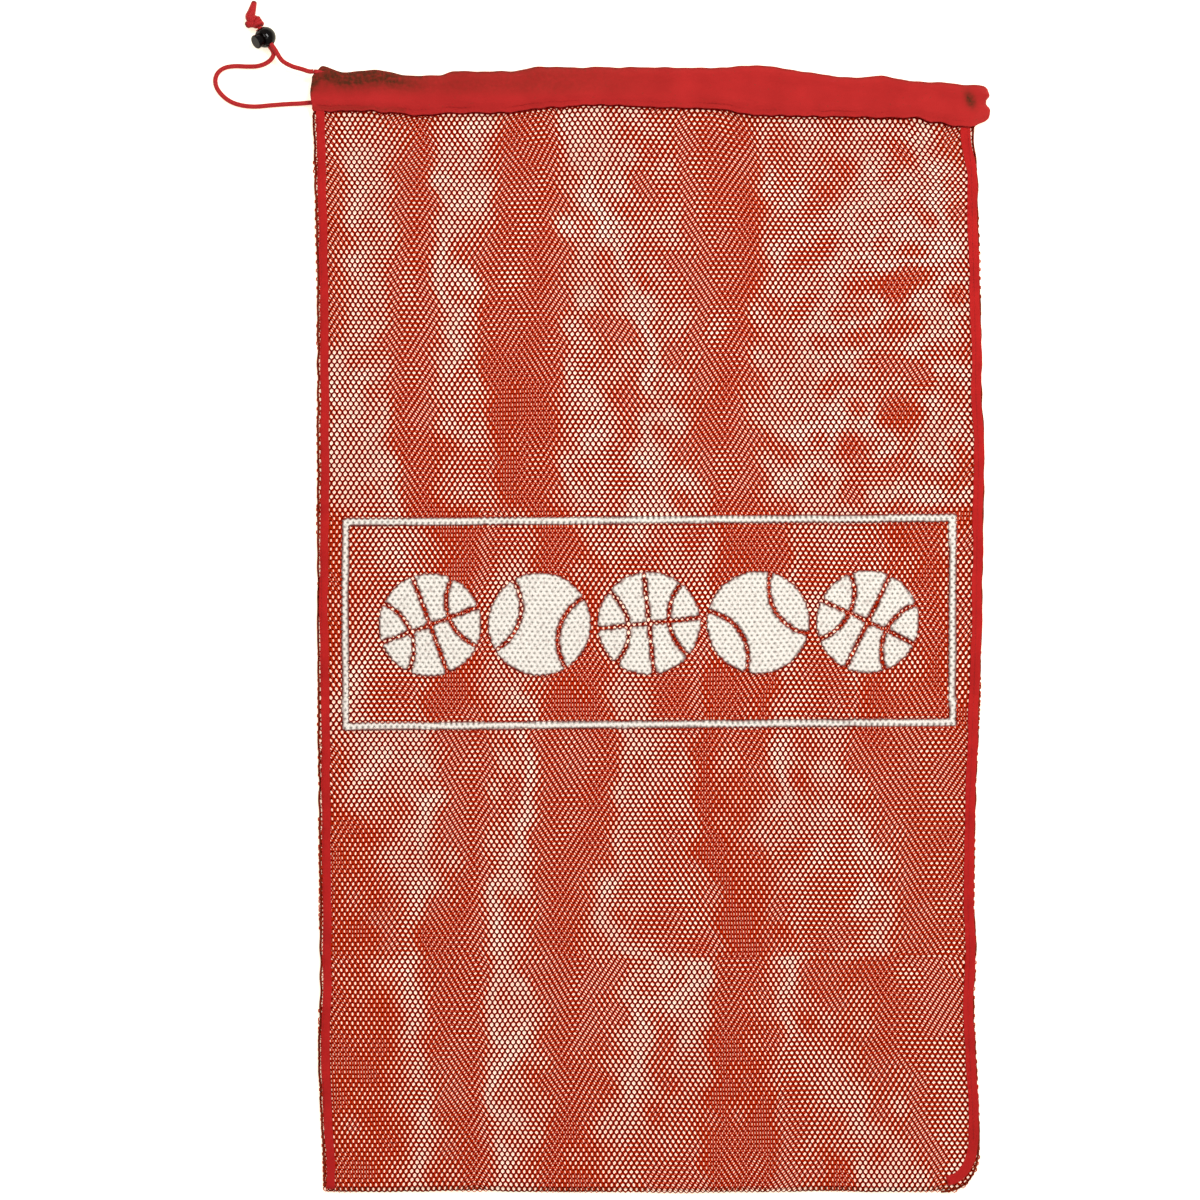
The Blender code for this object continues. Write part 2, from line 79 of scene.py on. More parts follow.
# Cord, lock and knot, as in the CAD
CORD_DIAMETER = 0.0042
CORD_STACK_GAP = 0.0003
BACK_CORD = (0.4793, 0.0032)
FRONT_CORD = (0.5056, 0.0156)
LOCK_FROM_CORNER = (-0.0440, 0.0286)
LOCK_HEADING = math.radians(124.8)
LOCK_TILT = math.radians(32)
LOCK_BALL_RADIUS = 0.0095
LOCK_TRAVEL = 0.0040
CORD_LINE = 0.0006  # height of the middle of the two cords in the lock
KNOT_SIZE = (0.0105, 0.0105, 0.0100)
UPPER_ROUTE = (
    (-0.0089, -0.0016, 0.0125),
    (-0.0202, 0.0020, 0.0110),
    (-0.0289, 0.0073, 0.0100),
)
LOWER_ROUTE = (
    (-0.0140, -0.0305, 0.0008),
    (-0.0219, -0.0307, 0.0003),
    (-0.0392, -0.0319, 0.0),
    (-0.0549, -0.0331, 0.0),
    (-0.0670, -0.0318, 0.0),
    (-0.0760, -0.0287, 0.0),
    (-0.0832, -0.0235, 0.0),
    (-0.0884, -0.0168, 0.0),
    (-0.0902, -0.0097, 0.0),
    (-0.0882, -0.0031, 0.0),
    (-0.0826, 0.0016, 0.0),
    (-0.0739, 0.0035, 0.0),
    (-0.0600, 0.0031, 0.0006),
    (-0.0513, 0.0033, 0.0022),
    (-0.0442, 0.0053, 0.0038),
    (-0.0388, 0.0092, 0.0049),
)
LONG_TAIL = (
    (-0.0062, 0.0050, 0.0),
    (-0.0050, 0.0090, -0.0004),
    (-0.0037, 0.0140, -0.0014),
    (-0.0024, 0.0200, -0.0030),
)
SHORT_TAIL = (
    (-0.0066, -0.0012, 0.0),
    (-0.0082, -0.0018, -0.0004),
    (-0.0099, -0.0025, -0.0012),
)

# The bag's real outline, y and then x for its sides, x and then y for its hem
LEFT_EDGE = (
    (-0.505, -0.2960), (-0.385, -0.3010), (-0.320, -0.2995), (0.030, -0.3020),
    (0.300, -0.3020), (0.475, -0.3055),
)
RIGHT_EDGE = (
    (-0.505, 0.2990), (-0.460, 0.2990), (-0.335, 0.2940), (-0.285, 0.2960), (-0.245, 0.2940),
    (0.065, 0.3020), (0.155, 0.3035), (0.230, 0.3010), (0.410, 0.2975), (0.455, 0.2935),
)
RIGHT_TAPE_CORNER = (
    (0.2932, -0.455), (0.2926, -0.466), (0.2900, -0.478), (0.2850, -0.488), (0.2775, -0.495),
    (0.2690, -0.498),
)
HEM_TOP = (
    (-0.306, 0.4985), (-0.302, 0.5040), (-0.296, 0.5095), (-0.277, 0.5045), (-0.250, 0.5065),
    (-0.213, 0.5010), (-0.190, 0.5015), (-0.176, 0.5055), (-0.130, 0.5050), (-0.100, 0.5090),
    (0.067, 0.5085), (0.087, 0.5105), (0.190, 0.4995), (0.208, 0.5010), (0.240, 0.4960),
    (0.302, 0.4925),
)
HEM_LOW = (
    (-0.304, 0.4725), (-0.263, 0.4730), (-0.227, 0.4707), (-0.206, 0.4685), (-0.190, 0.4705),
    (-0.136, 0.4712), (-0.082, 0.4762), (-0.060, 0.4782), (0.057, 0.4748), (0.100, 0.4685),
    (0.240, 0.4665), (0.254, 0.4628), (0.277, 0.4594), (0.290, 0.4582), (0.302, 0.4640),
)


# Helpers


def srgb(red, green, blue):
    """A display colour, 0 to 255, as a linear one."""
    return tuple((channel / 255) ** 2.2 for channel in (red, green, blue)) + (1.0,)


def eased(at, points):
    """A smooth line through a few (place, value) points."""
    places = np.array([point[0] for point in points])
    values = np.array([point[1] for point in points])
    at = np.clip(at, places[0], places[-1])
    index = np.clip(np.searchsorted(places, at, side="right") - 1, 0, len(places) - 2)
    share = (at - places[index]) / (places[index + 1] - places[index])
    share = share * share * (3 - 2 * share)
    return values[index] + (values[index + 1] - values[index]) * share


def step_up(at, start, end):
    """0 before start, 1 after end, smooth between."""
    share = np.clip((at - start) / (end - start), 0.0, 1.0)
    return share * share * (3 - 2 * share)


def waves(x, y, seed, size):
    """A smooth undulation of about -1 to 1, whose bends are about that size."""
    random = np.random.default_rng(seed)
    total = 0.0 * x
    for _ in range(6):
        heading, phase = random.uniform(0, 2 * math.pi, 2)
        rate = 2 * math.pi / size * random.uniform(0.6, 1.4)
        along = x * math.cos(heading) + y * math.sin(heading)
        total = total + np.sin(rate * along + phase)
    return total / 2.6


def mesh_object(name, points, faces, body="bag", smooth=True):
    """A new object from arrays of points and of four-sided faces, and which points it uses."""
    points = np.asarray(points, dtype=np.float32)
    faces = np.asarray(faces, dtype=np.int32)
    used, inverse = np.unique(faces, return_inverse=True)
    points = points[used]
    faces = inverse.reshape(faces.shape).astype(np.int32)
    data = bpy.data.meshes.new(name)
    data.vertices.add(len(points))
    data.vertices.foreach_set("co", points.ravel())
    data.loops.add(faces.size)
    data.loops.foreach_set("vertex_index", faces.ravel())
    data.polygons.add(len(faces))
    data.polygons.foreach_set("loop_start", np.arange(0, faces.size, 4, dtype=np.int32))
    data.polygons.foreach_set("use_smooth", np.full(len(faces), smooth))
    data.update()
    data.validate()
    item = bpy.data.objects.new(name, data)
    bpy.context.scene.collection.objects.link(item)
    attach(item, body)
    return item, used


def float_layer(item, name, values):
    """Stores a value for each point, which a material reads by name."""
    layer = item.data.attributes.new(name, "FLOAT", "POINT")
    layer.data.foreach_set("value", np.asarray(values, dtype=np.float32))


def grid_faces(rows, columns, closed):
    """Faces of a grid of points, rows by columns. closed joins each row's ends."""
    row = np.arange(rows - 1)[:, None] * columns
    column = np.arange(columns if closed else columns - 1)[None, :]
    after = (column + 1) % columns
    corners = (row + column, row + after, row + columns + after, row + columns + column)
    return np.stack([corner.ravel() for corner in corners], axis=1)


def catmull(points, at):
    """The point at parameter at, in 0 to len(points) - 1, of a curve through the points."""
    last = len(points) - 1
    index = min(int(at), last - 1)
    share = at - index
    p1, p2 = points[index], points[index + 1]
    p0 = points[index - 1] if index else p1 * 2 - p2
    p3 = points[index + 2] if index + 2 <= last else p2 * 2 - p1
    t1 = 0.0
    t2 = t1 + math.sqrt((p1 - p0).length)
    t3 = t2 + math.sqrt((p2 - p1).length)
    t4 = t3 + math.sqrt((p3 - p2).length)
    t = t2 + (t3 - t2) * share
    a1 = p0 * ((t2 - t) / (t2 - t1)) + p1 * ((t - t1) / (t2 - t1))
    a2 = p1 * ((t3 - t) / (t3 - t2)) + p2 * ((t - t2) / (t3 - t2))
    a3 = p2 * ((t4 - t) / (t4 - t3)) + p3 * ((t - t3) / (t4 - t3))
    b1 = a1 * ((t3 - t) / (t3 - t1)) + a2 * ((t - t1) / (t3 - t1))
    b2 = a2 * ((t4 - t) / (t4 - t2)) + a3 * ((t - t2) / (t4 - t2))
    return b1 * ((t3 - t) / (t3 - t2)) + b2 * ((t - t2) / (t3 - t2))


def smooth_route(points, step):
    """Points a step apart along the smooth curve through the route's points."""
    points = [Vector(point) for point in points]
    fine = 24
    count = (len(points) - 1) * fine
    dense = [catmull(points, index / fine) for index in range(count + 1)]
    return even_route(dense, step)


def even_route(dense, step):
    """The same line as dense, with its points a step apart."""
    lengths = [0.0]
    for before, after in zip(dense, dense[1:]):
        lengths.append(lengths[-1] + (after - before).length)
    pieces = max(2, round(lengths[-1] / step))
    route = []
    reached = 0
    for number in range(pieces + 1):
        wanted = lengths[-1] * number / pieces
        while reached < len(dense) - 2 and lengths[reached + 1] < wanted:
            reached += 1
        span = lengths[reached + 1] - lengths[reached]
        share = (wanted - lengths[reached]) / span
        route.append(dense[reached].lerp(dense[reached + 1], min(1.0, share)))
    return route


# Materials


def new_material(name, roughness, metallic=0.0):
    made = bpy.data.materials.new(name)
    made.use_nodes = True
    tree = made.node_tree
    shader = tree.nodes["Principled BSDF"]
    shader.inputs["Roughness"].default_value = roughness
    shader.inputs["Metallic"].default_value = metallic
    return made, tree, shader


def add_node(tree, kind, **values):
    made = tree.nodes.new(kind)
    for name, value in values.items():
        if hasattr(made, name):
            setattr(made, name, value)
        else:
            made.inputs[name.replace("_", " ")].default_value = value
    return made


def noise_colour(tree, coordinates, scale, colours, detail=4.0):
    """Cloudy colour between colours given as (place, colour)."""
    noise = add_node(tree, "ShaderNodeTexNoise", Scale=scale, Detail=detail)
    tree.links.new(coordinates, noise.inputs["Vector"])
    ramp = add_node(tree, "ShaderNodeValToRGB")
    elements = ramp.color_ramp.elements
    while len(elements) < len(colours):
        elements.new(0.5)
    for element, (place, colour) in zip(elements, colours):
        element.position = place
        element.color = colour
    tree.links.new(noise.outputs["Fac"], ramp.inputs["Fac"])
    return ramp.outputs["Color"]


def mixed(tree, factor, first, second):
    """Colour first where factor is 0, second where it is 1. Each is a socket or a colour."""
    mix = add_node(tree, "ShaderNodeMix", data_type="RGBA")
    for value, name in ((factor, 0), (first, 6), (second, 7)):
        if isinstance(value, bpy.types.NodeSocket):
            tree.links.new(value, mix.inputs[name])
        else:
            mix.inputs[name].default_value = value
    return mix.outputs[2]


def wave(tree, coordinates, direction, scale, distortion=0.0):
    made = add_node(
        tree, "ShaderNodeTexWave", bands_direction=direction, Scale=scale, Distortion=distortion
    )
    tree.links.new(coordinates, made.inputs["Vector"])
    return made.outputs["Fac"]


def combine(tree, operation, first, second):
    made = add_node(tree, "ShaderNodeMath", operation=operation)
    for value, place in ((first, 0), (second, 1)):
        if isinstance(value, bpy.types.NodeSocket):
            tree.links.new(value, made.inputs[place])
        else:
            made.inputs[place].default_value = value
    return made.outputs[0]


def bump(tree, shader, height, distance, strength=1.0):
    made = add_node(tree, "ShaderNodeBump", Strength=strength, Distance=distance)
    tree.links.new(height, made.inputs["Height"])
    tree.links.new(made.outputs["Normal"], shader.inputs["Normal"])


def object_coordinates(tree):
    return add_node(tree, "ShaderNodeTexCoord").outputs["Object"]


def attribute(tree, name):
    return add_node(tree, "ShaderNodeAttribute", attribute_name=name).outputs["Fac"]


def mesh_cloth_material(name, bright, dark, see_through, glow):
    """Knitted polyester yarn, which lets some light through, with cream ink where it is printed."""
    made, tree, shader = new_material(name, 0.62)
    place = object_coordinates(tree)
    yarn = noise_colour(tree, place, 900.0, [(0.30, dark), (0.72, bright)], 3.0)
    ink = attribute(tree, "ink")
    patchy = add_node(tree, "ShaderNodeTexNoise", Scale=420.0, Detail=3.0)
    tree.links.new(place, patchy.inputs["Vector"])
    worn = combine(tree, "MULTIPLY_ADD", patchy.outputs["Fac"], 1.2)
    worn.node.inputs[2].default_value = 0.45
    worn.node.use_clamp = True
    cover = combine(tree, "MULTIPLY", ink, worn)
    colour = mixed(tree, cover, yarn, srgb(255, 246, 234))
    tree.links.new(colour, shader.inputs["Base Color"])
    shader.inputs["Specular IOR Level"].default_value = 0.06
    ribs = wave(tree, place, "DIAGONAL", 1500.0, 2.0)
    bump(tree, shader, ribs, 0.00012, 0.7)
    clear = add_node(tree, "ShaderNodeBsdfTransparent", Color=glow)
    solid = combine(tree, "MULTIPLY_ADD", cover, see_through)
    solid.node.inputs[2].default_value = 1.0 - see_through
    blend = add_node(tree, "ShaderNodeMixShader")
    tree.links.new(solid, blend.inputs[0])
    tree.links.new(clear.outputs[0], blend.inputs[1])
    tree.links.new(shader.outputs[0], blend.inputs[2])
    tree.links.new(blend.outputs[0], tree.nodes["Material Output"].inputs["Surface"])
    return made


def noise_value(tree, coordinates, scale, detail):
    noise = add_node(tree, "ShaderNodeTexNoise", Scale=scale, Detail=detail)
    tree.links.new(coordinates, noise.inputs["Vector"])
    return noise.outputs["Fac"]


def woven_material(name, bright, dark, threads, depth, soiled_and_shaded=False):
    """A plain weave: threads is how many cross a metre."""
    made, tree, shader = new_material(name, 0.7)
    place = object_coordinates(tree)
    scale = threads / 3.1416
    warp = wave(tree, place, "X", scale, 0.6)
    weft = wave(tree, place, "Y", scale, 0.6)
    weave = combine(tree, "ADD", warp, weft)
    cloud = noise_colour(tree, place, 38.0, [(0.35, dark), (0.65, bright)])
    fleck = noise_colour(tree, place, 1400.0, [(0.3, dark), (0.6, bright)], 2.0)
    colour = mixed(tree, 0.35, cloud, fleck)
    if soiled_and_shaded:
        # Where the attribute says, the weave is darkened to brown: painted shade along the hem's top
        # edge, by its upper left corner and at a crease near its right end, together with soil. The
        # specks are dirt.
        shade_and_grime = noise_value(tree, place, 330.0, 4.0)
        amount = combine(tree, "MULTIPLY", attribute(tree, "shade_and_soil"), shade_and_grime)
        amount = combine(tree, "MULTIPLY", amount, 1.7)
        amount.node.use_clamp = True
        colour = mixed(tree, amount, colour, srgb(88, 44, 26))
        specks = combine(tree, "GREATER_THAN", noise_value(tree, place, 520.0, 1.0), 0.735)
        colour = mixed(tree, combine(tree, "MULTIPLY", specks, 0.55), colour, srgb(128, 58, 38))
    tree.links.new(colour, shader.inputs["Base Color"])
    shader.inputs["Sheen Weight"].default_value = 0.04
    shader.inputs["Sheen Roughness"].default_value = 0.35
    shader.inputs["Specular IOR Level"].default_value = 0.12
    bump(tree, shader, weave, depth, 0.8)
    return made


def cord_material(name, bright, dark, melted):
    """Braided polyester, painted darker in the grooves between its strands as painted shade, with
    melted ends where the attribute says.
    """
    made, tree, shader = new_material(name, 0.55)
    place = object_coordinates(tree)
    fibres = noise_colour(tree, place, 1600.0, [(0.32, dark), (0.62, bright)], 3.0)
    groove_shade = attribute(tree, "groove_shade")
    shaded = mixed(tree, groove_shade, fibres, dark)
    colour = mixed(tree, attribute(tree, "melted"), shaded, melted)
    tree.links.new(colour, shader.inputs["Base Color"])
    shader.inputs["Sheen Weight"].default_value = 0.05
    shader.inputs["Sheen Roughness"].default_value = 0.4
    shader.inputs["Specular IOR Level"].default_value = 0.2
    lines = wave(tree, place, "DIAGONAL", 900.0, 3.0)
    bump(tree, shader, lines, 0.00008, 0.6)
    return made


def plastic_material(name):
    """Glossy black moulded plastic with a faint texture and fine scratches."""
    made, tree, shader = new_material(name, 0.16)
    place = object_coordinates(tree)
    colour = noise_colour(tree, place, 260.0, [(0.3, srgb(8, 5, 5)), (0.7, srgb(22, 15, 13))])
    tree.links.new(colour, shader.inputs["Base Color"])
    rough = add_node(tree, "ShaderNodeTexNoise", Scale=700.0, Detail=3.0)
    tree.links.new(place, rough.inputs["Vector"])
    spread = add_node(tree, "ShaderNodeMapRange", To_Min=0.08, To_Max=0.22)
    tree.links.new(rough.outputs["Fac"], spread.inputs["Value"])
    tree.links.new(spread.outputs["Result"], shader.inputs["Roughness"])
    shader.inputs["Specular IOR Level"].default_value = 0.16
    bump(tree, shader, rough.outputs["Fac"], 0.00003, 0.5)
    return made


def steel_material(name):
    made, tree, shader = new_material(name, 0.28, 1.0)
    place = object_coordinates(tree)
    colours = [(0.3, srgb(176, 176, 180)), (0.7, srgb(214, 214, 216))]
    tree.links.new(noise_colour(tree, place, 900.0, colours), shader.inputs["Base Color"])
    bump(tree, shader, wave(tree, place, "Z", 2400.0), 0.00001, 0.5)
    return made


def floor_material():
    made, tree, shader = new_material("floor_paper", 0.9)
    shader.inputs["Base Color"].default_value = (0.93, 0.90, 0.80, 1.0)
    shader.inputs["Specular IOR Level"].default_value = 0.0
    shader.inputs["Emission Color"].default_value = (1.0, 0.92, 0.70, 1.0)
    shader.inputs["Emission Strength"].default_value = 0.68
    return made


# Studio: the camera, the floor and the lights


def studio():
    data = bpy.data.cameras.new("camera")
    data.lens = LENS
    data.sensor_width = 36.0
    camera = bpy.data.objects.new("camera", data)
    camera.location = CAMERA
    bpy.context.scene.collection.objects.link(camera)
    bpy.context.scene.camera = camera
    bpy.ops.mesh.primitive_plane_add(size=6.0, location=(0.0, 0.0, -0.0006))
    floor = bpy.context.object
    floor.name = "floor"
    floor.data.materials.append(floor_material())
    world = bpy.data.worlds.new("studio")
    world.use_nodes = True
    world.node_tree.nodes["Background"].inputs["Color"].default_value = (1.0, 1.0, 1.0, 1.0)
    world.node_tree.nodes["Background"].inputs["Strength"].default_value = 0.45
    bpy.context.scene.world = world
    soft_light("key", (-0.7, 0.9, 2.4), 1.1, 14.0)
    soft_light("fill", (0.9, -0.5, 2.6), 1.4, 9.0)
    soft_light("lamp_left", (0.25, 1.15, 1.9), 0.26, 11.0)
    soft_light("lamp_right", (0.80, 0.55, 1.8), 0.26, 11.0)
    bpy.context.scene.view_settings.view_transform = "Standard"


def soft_light(name, place, size, power):
    data = bpy.data.lights.new(name, "AREA")
    data.shape = "DISK"
    data.size = size
    data.energy = power
    light = bpy.data.objects.new(name, data)
    light.location = place
    light.rotation_euler = (Vector((0.0, 0.0, 0.0)) - Vector(place)).to_track_quat("-Z", "Y").to_euler()
    bpy.context.scene.collection.objects.link(light)


# Drawcord


def lock_frame():
    """Z along the plunger, outwards, and X along the cords, towards the knot."""
    along = Vector((math.cos(LOCK_HEADING), math.sin(LOCK_HEADING), 0.0))
    up = Vector((0.0, 0.0, 1.0))
    plunger = up.cross(along)
    turn = Matrix((along, up * -1.0, plunger)).transposed()
    corner = Vector((-SIDE_X, HEM_TOP_Y, 0.0))
    centre = corner + Vector((*LOCK_FROM_CORNER, LOCK_BALL_RADIUS))
    return Matrix.Translation(centre) @ turn.to_4x4() @ Matrix.Rotation(LOCK_TILT, 4, "X")


def strand_end(level):
    """The straight stretch of a strand through the lock, up to the knot."""
    offset = level * (CORD_DIAMETER + CORD_STACK_GAP) / 2
    start = LOCK_BALL_RADIUS + LOCK_TRAVEL + 0.0010
    places = (-start - 0.0015, -start, 0.0, LOCK_BALL_RADIUS + 0.0003)
    return [lock_frame() @ Vector((x, -offset, CORD_LINE)) for x in places]


def strand_route(leaves, route, level):
    """The free cord's centreline from the hem to the knot."""
    y, z = leaves
    guide = [(-SIDE_X - CORD_DIAMETER, y, z)]
    floor = CORD_DIAMETER / 2
    guide += [(x - SIDE_X, y_step + HEM_TOP_Y, floor + height) for x, y_step, height in route]
    straight = strand_end(level)
    guide += straight[:2]
    points = [Vector((-SIDE_X, y, z))] + smooth_route(guide, 0.0030) + straight[2:]
    return smooth_route(points, 0.0030)


def rings_along(route):
    """Two directions across the route at each of its points, turned as little as possible."""
    tangents = []
    for number, point in enumerate(route):
        before = route[max(0, number - 1)]
        after = route[min(len(route) - 1, number + 1)]
        tangents.append((after - before).normalized())
    side = tangents[0].orthogonal().normalized()
    frames = []
    for tangent in tangents:
        side = (side - tangent * side.dot(tangent)).normalized()
        frames.append((side, tangent.cross(side)))
    return frames


def braid_relief(along, angles, diameter):
    """How high the braid stands, from two sets of strands that cross."""
    turn = 2 * math.pi / (diameter * 2.6)
    carriers = 6
    first = np.cos(carriers * (angles[None, :] - turn * along))
    second = np.cos(carriers * (angles[None, :] + turn * along))
    return np.maximum(first, second)


def melted_ends(along, length, diameter, melt):
    """For each end in melt, 0 or 1: the rounding of its tip, and how melted each place is."""
    tip = np.ones_like(along)
    melted = np.zeros_like(along)
    for end in melt:
        near = along if end == 0 else length - along
        round_off = np.clip(1.0 - near / (diameter * 0.35), 0.0, 1.0)
        tip = tip * np.sqrt(np.clip(1.0 - round_off ** 2 * 0.98, 0.0, 1.0))
        melted = np.maximum(melted, np.clip(1.3 - near / (diameter * 0.55), 0.0, 1.0))
    return tip, melted


def braided_tube(name, route, diameter, around=28, step=0.0004, melt=(), widen=(1.0, 1.0)):
    """A round braid along a route. widen is how much thicker it is at its start and its end."""
    route = even_route([Vector(point) for point in route], step)
    frames = rings_along(route)
    count = len(route)
    angles = np.arange(around) * 2 * math.pi / around
    along = np.arange(count)[:, None] * step
    relief = braid_relief(along, angles, diameter)
    tip, melted = melted_ends(along, (count - 1) * step, diameter, melt)
    swell = 1.0 + 0.035 * (relief - 0.6)
    radius = diameter / 2 * swell * tip * np.linspace(widen[0], widen[1], count)[:, None]
    centre = np.array([tuple(point) for point in route])[:, None, :]
    side = np.array([tuple(pair[0]) for pair in frames])[:, None, :]
    other = np.array([tuple(pair[1]) for pair in frames])[:, None, :]
    cosine, sine = np.cos(angles)[None, :, None], np.sin(angles)[None, :, None]
    points = centre + radius[:, :, None] * (side * cosine + other * sine)
    item, used = mesh_object(name, points.reshape(-1, 3), grid_faces(count, around, True))
    close_ends(item)
    # Painted shade: how much darker the braid is painted in the grooves between its strands.
    groove_shade = 1.0 - np.clip((relief + 0.1) / 0.9, 0.0, 1.0)
    tube_layer(item, "groove_shade", groove_shade.ravel()[used], 0.0)
    tube_layer(item, "melted", (melted * np.ones((count, around))).ravel()[used], float(bool(melt)))
    return item, route


def tube_layer(item, name, values, at_caps):
    """A value for each point of a tube, and one for the points that its closed ends add."""
    added = len(item.data.vertices) - len(values)
    float_layer(item, name, np.concatenate([values, np.full(added, at_caps)]))


def close_ends(item):
    """Fills the two open ends of a tube."""
    shape = bmesh.new()
    shape.from_mesh(item.data)
    rims = [edge for edge in shape.edges if edge.is_boundary]
    bmesh.ops.holes_fill(shape, edges=rims, sides=0)
    shape.to_mesh(item.data)
    shape.free()


def drawcord(material):
    """The two free strands, the knot and the two tails."""
    knot = cord_knot(material)
    for name, steps, widen in (
        ("cord_tail_long", LONG_TAIL, (2.5, 1.15)), ("cord_tail_short", SHORT_TAIL, (2.0, 1.5)),
    ):
        cord_tail(name, steps, widen, material)
    free_strand("drawcord_upper_strand", FRONT_CORD, UPPER_ROUTE, 1, material)
    free_strand("drawcord_lower_strand", BACK_CORD, LOWER_ROUTE, -1, material)


def cord_tail(name, steps, widen, material):
    """A tail that opens out where it leaves the knot and is melted at its tip."""
    centre = knot_centre()
    inside_knot = centre + Vector(steps[0]) * 0.3
    route = smooth_route([inside_knot] + [centre + Vector(step) for step in steps], 0.001)
    tail, _ = braided_tube("braid_" + name, route, CORD_DIAMETER * 0.97, melt=(1,), widen=widen)
    finish_piece(tail, material, "cord", name)
    return tail


def free_strand(name, leaves, route, level, material):
    """The cord from where it leaves the hem, in y and z, to the knot."""
    line = strand_route(leaves, route, level)
    strand, path = braided_tube("braid_" + name, line, CORD_DIAMETER)
    finish_piece(strand, material, "cord", name)


def knot_centre():
    along = LOCK_BALL_RADIUS + 0.0006 + KNOT_SIZE[0] / 2
    return lock_frame() @ Vector((along, 0.0, CORD_LINE - 0.0020))


def cord_knot(material):
    """A tight overhand knot in the two ends: loops that wrap over one another."""
    place = lock_frame()
    place.translation = knot_centre()
    thick = CORD_DIAMETER * 0.94
    loops = []
    for number, (lean, turn, shift, ring) in enumerate((
        (0.35, 0.0, -0.0022, 0.0035), (-0.45, 0.6, 0.0018, 0.0035), (1.15, 1.2, 0.0, 0.0033),
    )):
        tilt = Matrix.Rotation(turn, 4, "X") @ Matrix.Rotation(lean, 4, "Y")
        route = []
        for step in range(49):
            angle = 2 * math.pi * step / 48
            point = Vector((0.0, ring * math.cos(angle), ring * math.sin(angle)))
            route.append(place @ (tilt @ point + Vector((shift, 0.0, 0.0))))
        loop, _ = braided_tube("loop", route, thick, around=24)
        loops.append(loop)
    bpy.ops.object.select_all(action="DESELECT")
    for loop in loops:
        loop.select_set(True)
    bpy.context.view_layer.objects.active = loops[0]
    bpy.ops.object.join()
    knot = loops[0]
    knot.name = "overhand_knot"
    finish_piece(knot, material, "cord", "cord_knot")
    return knot


def finish_piece(item, material, slot, *nodes):
    """Gives a piece its material and hides the CAD nodes that it stands for."""
    item.data.materials.clear()
    item.data.materials.append(material)
    if nodes:
        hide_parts(*nodes)


# Mesh cloth


def cloth_level(x, y, layer):
    """The height of the middle of the yarn, for the back layer (0) or the front one (1)."""
    share = np.clip(1.0 - (HEM_LOW_Y - y) / RISE_LENGTH, 0.0, 1.0) ** 2
    low = BACK_NET_Z + 0.0005 * (waves(x, y, 3, 0.16) + 0.8) * (1 - share)
    low = np.maximum(low, BACK_NET_Z)
    ruffle = 0.0005 * waves(x, y, 8, 0.11) + 0.0003 * waves(x, y, 9, 0.05)
    crease = 0.0
    for place in (0.245, 0.115, -0.090, -0.294):
        crease = crease + 0.0008 * np.exp(-(((y - place) / 0.003) ** 2))
    crease = crease + 0.0007 * np.exp(-(((x - 0.009) / 0.003) ** 2))
    top = FRONT_NET_Z + ruffle + crease
    top = top + (FRONT_CASING_Z - 0.0002 - top) * share
    return low if layer == 0 else top


def slip(x, y):
    """How far the front layer lies from the back one, in cells across and in rows along. The
    net looks open where this is a whole step of the honeycomb, and closed between such places."""
    left = ((-0.304, -2.3), (-0.254, -2.0), (-0.215, -1.55), (-0.177, -1.0), (-0.115, -0.5))
    fold = ((-0.054, -0.05), (0.009, 0.05))
    right = ((0.072, 0.5), (0.125, 0.95), (0.304, 1.1))
    low_left = ((-0.304, -2.3), (-0.235, -2.0), (-0.177, -1.5), (-0.130, -0.95), (-0.085, -0.55))
    low_right = ((0.000, 0.0), (0.030, 0.05), (0.085, 0.5), (0.154, 1.0), (0.304, 1.7))
    upper = step_up(y, 0.090, 0.130)
    across = eased(x, left + fold + right) * upper + eased(x, low_left + low_right) * (1 - upper)
    lower = step_up(-y, 0.070, 0.105)
    second = step_up(-y, 0.287, 0.301)
    down = np.clip((-0.090 - y) / 0.204, 0.0, 1.0) * (1 - second)
    down = down + np.clip((-0.294 - y) / 0.204, 0.0, 1.0) * second
    across = across + lower * (0.16 * np.sin(9.0 * x + 2.0 * down) - 0.10 * down)
    across = across + 0.12 * waves(x, 0.25 * y, 21, 0.09) + 0.07 * waves(x, y, 22, 0.05)
    along = 0.14 * waves(x, 0.4 * y, 31, 0.20) + 0.08 * waves(x, y, 32, 0.06)
    along = along + lower * 0.55 * down * (0.6 + 0.5 * np.sin(14.0 * x + 0.6))
    middle = step_up(-y, -0.130, -0.090) * (1 - lower)
    along = along + middle * (0.28 + 0.15 * waves(x, y, 41, 0.08))
    across = across + 0.07 * waves(x, y, 23, 0.035)
    along = along + 0.07 * waves(x, y, 24, 0.035)
    halfway = step_up(-y, -0.300, -0.200) * (1 - step_up(-y, -0.130, -0.090))
    along = along + halfway * (1 - step_up(x, 0.08, 0.16)) * (0.12 + 0.12 * waves(x, y, 25, 0.07))
    along = along - 0.5 * np.sin(math.pi * across) ** 2
    swirl = step_up(x, 0.10, 0.20) * (1 - step_up(np.abs(y - 0.235), 0.10, 0.14))
    across = across + swirl * 0.16 * waves(0.6 * x, y, 53, 0.05)
    along = along + swirl * 0.16 * waves(0.6 * x, y, 54, 0.05)
    return across, along


